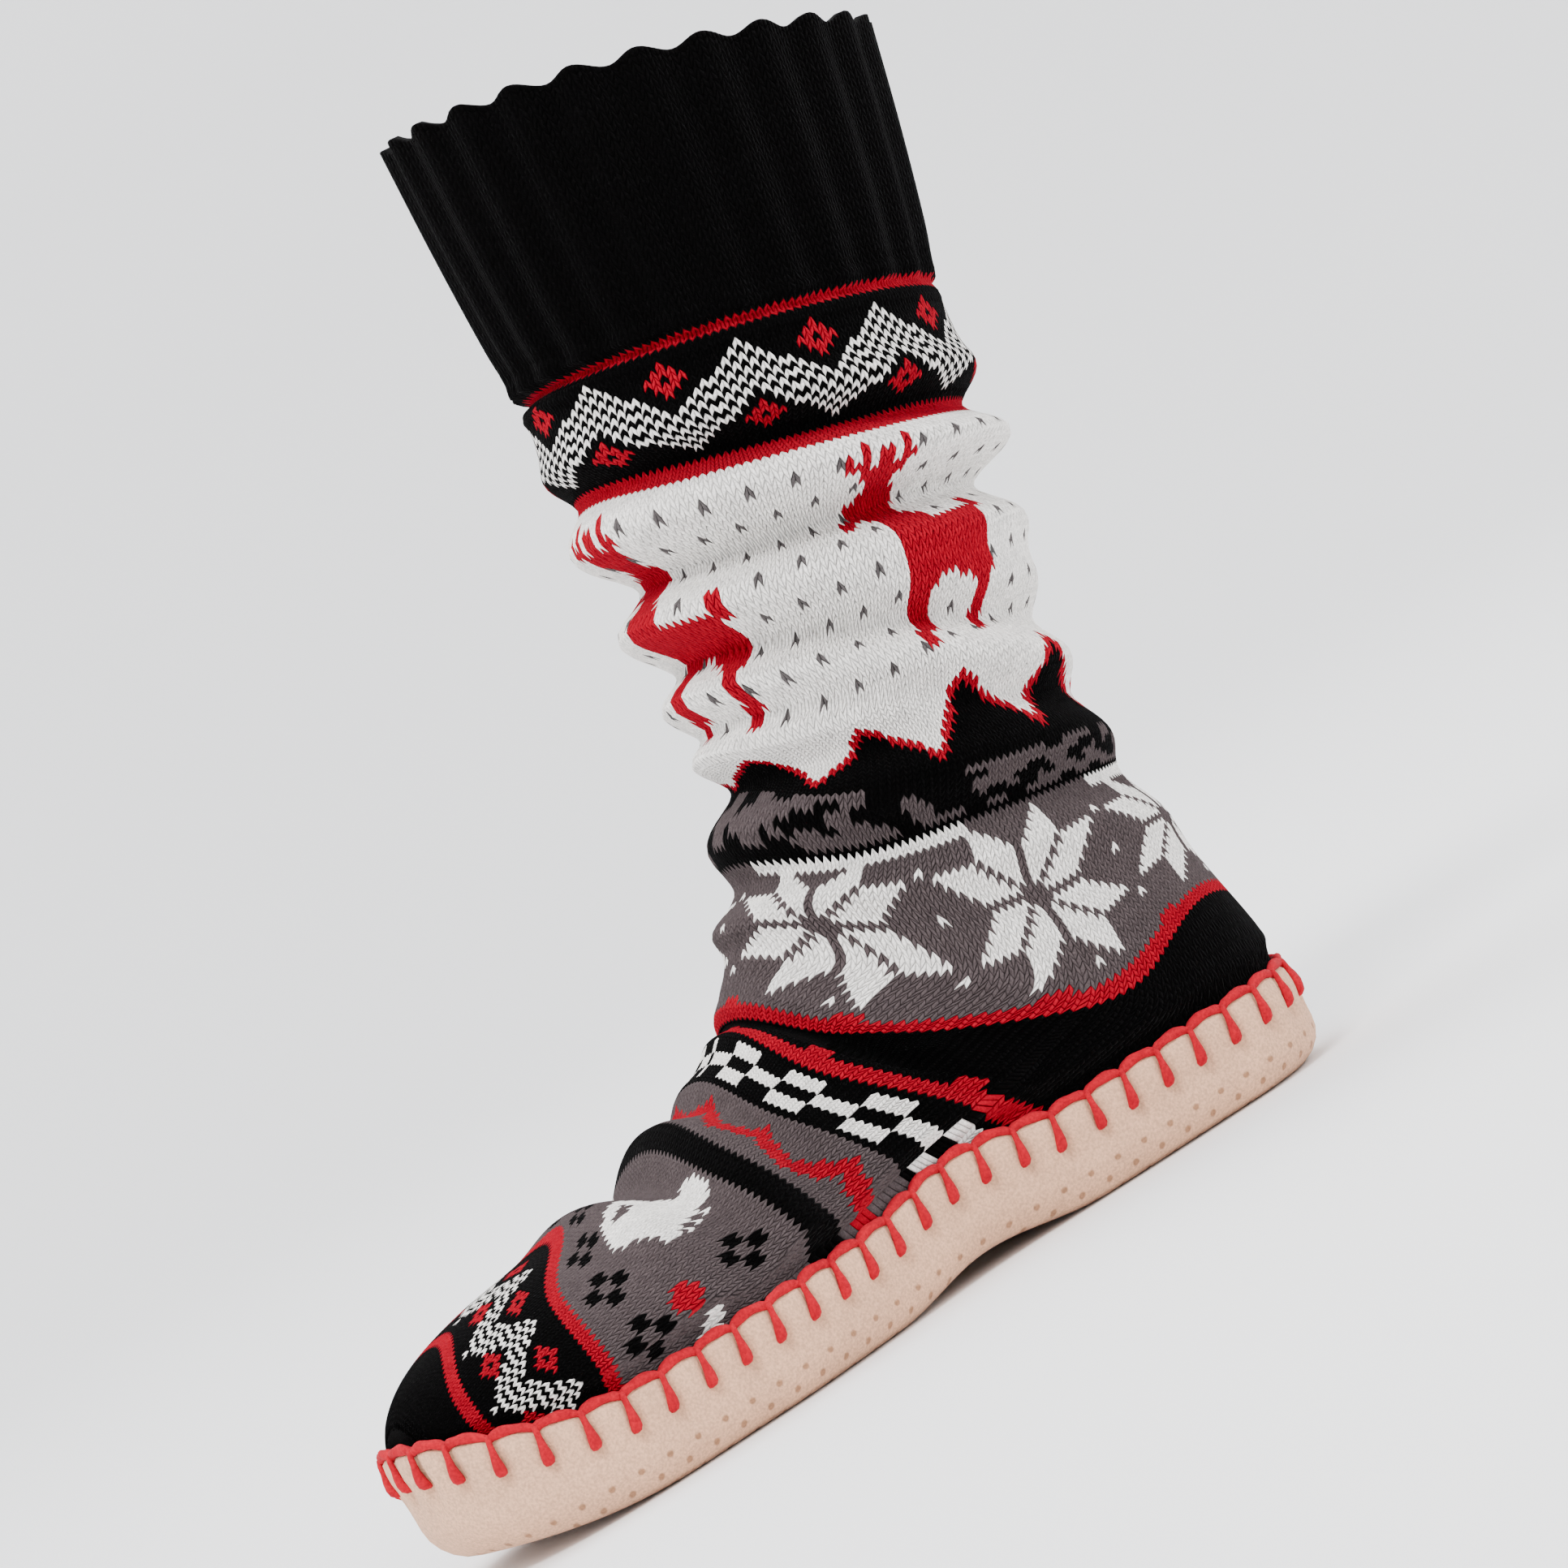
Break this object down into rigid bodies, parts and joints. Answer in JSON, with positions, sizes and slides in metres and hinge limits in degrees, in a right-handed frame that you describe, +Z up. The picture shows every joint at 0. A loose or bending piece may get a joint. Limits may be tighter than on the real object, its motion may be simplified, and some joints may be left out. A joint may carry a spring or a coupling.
{
  "type": "knit slipper",
  "caption": "Tall knitted slipper with a ribbed cuff, slouched shaft and a suede moccasin sole whip-stitched on with thick yarn.",
  "frame": {"origin": "on the floor under the middle of the heel", "axes": "+Z up along the shaft, -Y towards the toe, +X towards the inner side of the foot"},
  "size_m": [0.1002, 0.296, 0.3025],
  "materials": {
    "knit": "patterned wool knit in black, grey, white and red, matt and fuzzy",
    "suede": "tan suede, soft nap, matt",
    "insole_felt": "pale felted wool, matt",
    "yarn": "thick red wool yarn, twisted, matt"
  },
  "bodies": {
    "root": {"upper": "knit", "sole": "suede", "insole": "insole_felt", "edge_yarn": "yarn"}
  },
  "joints": []
}
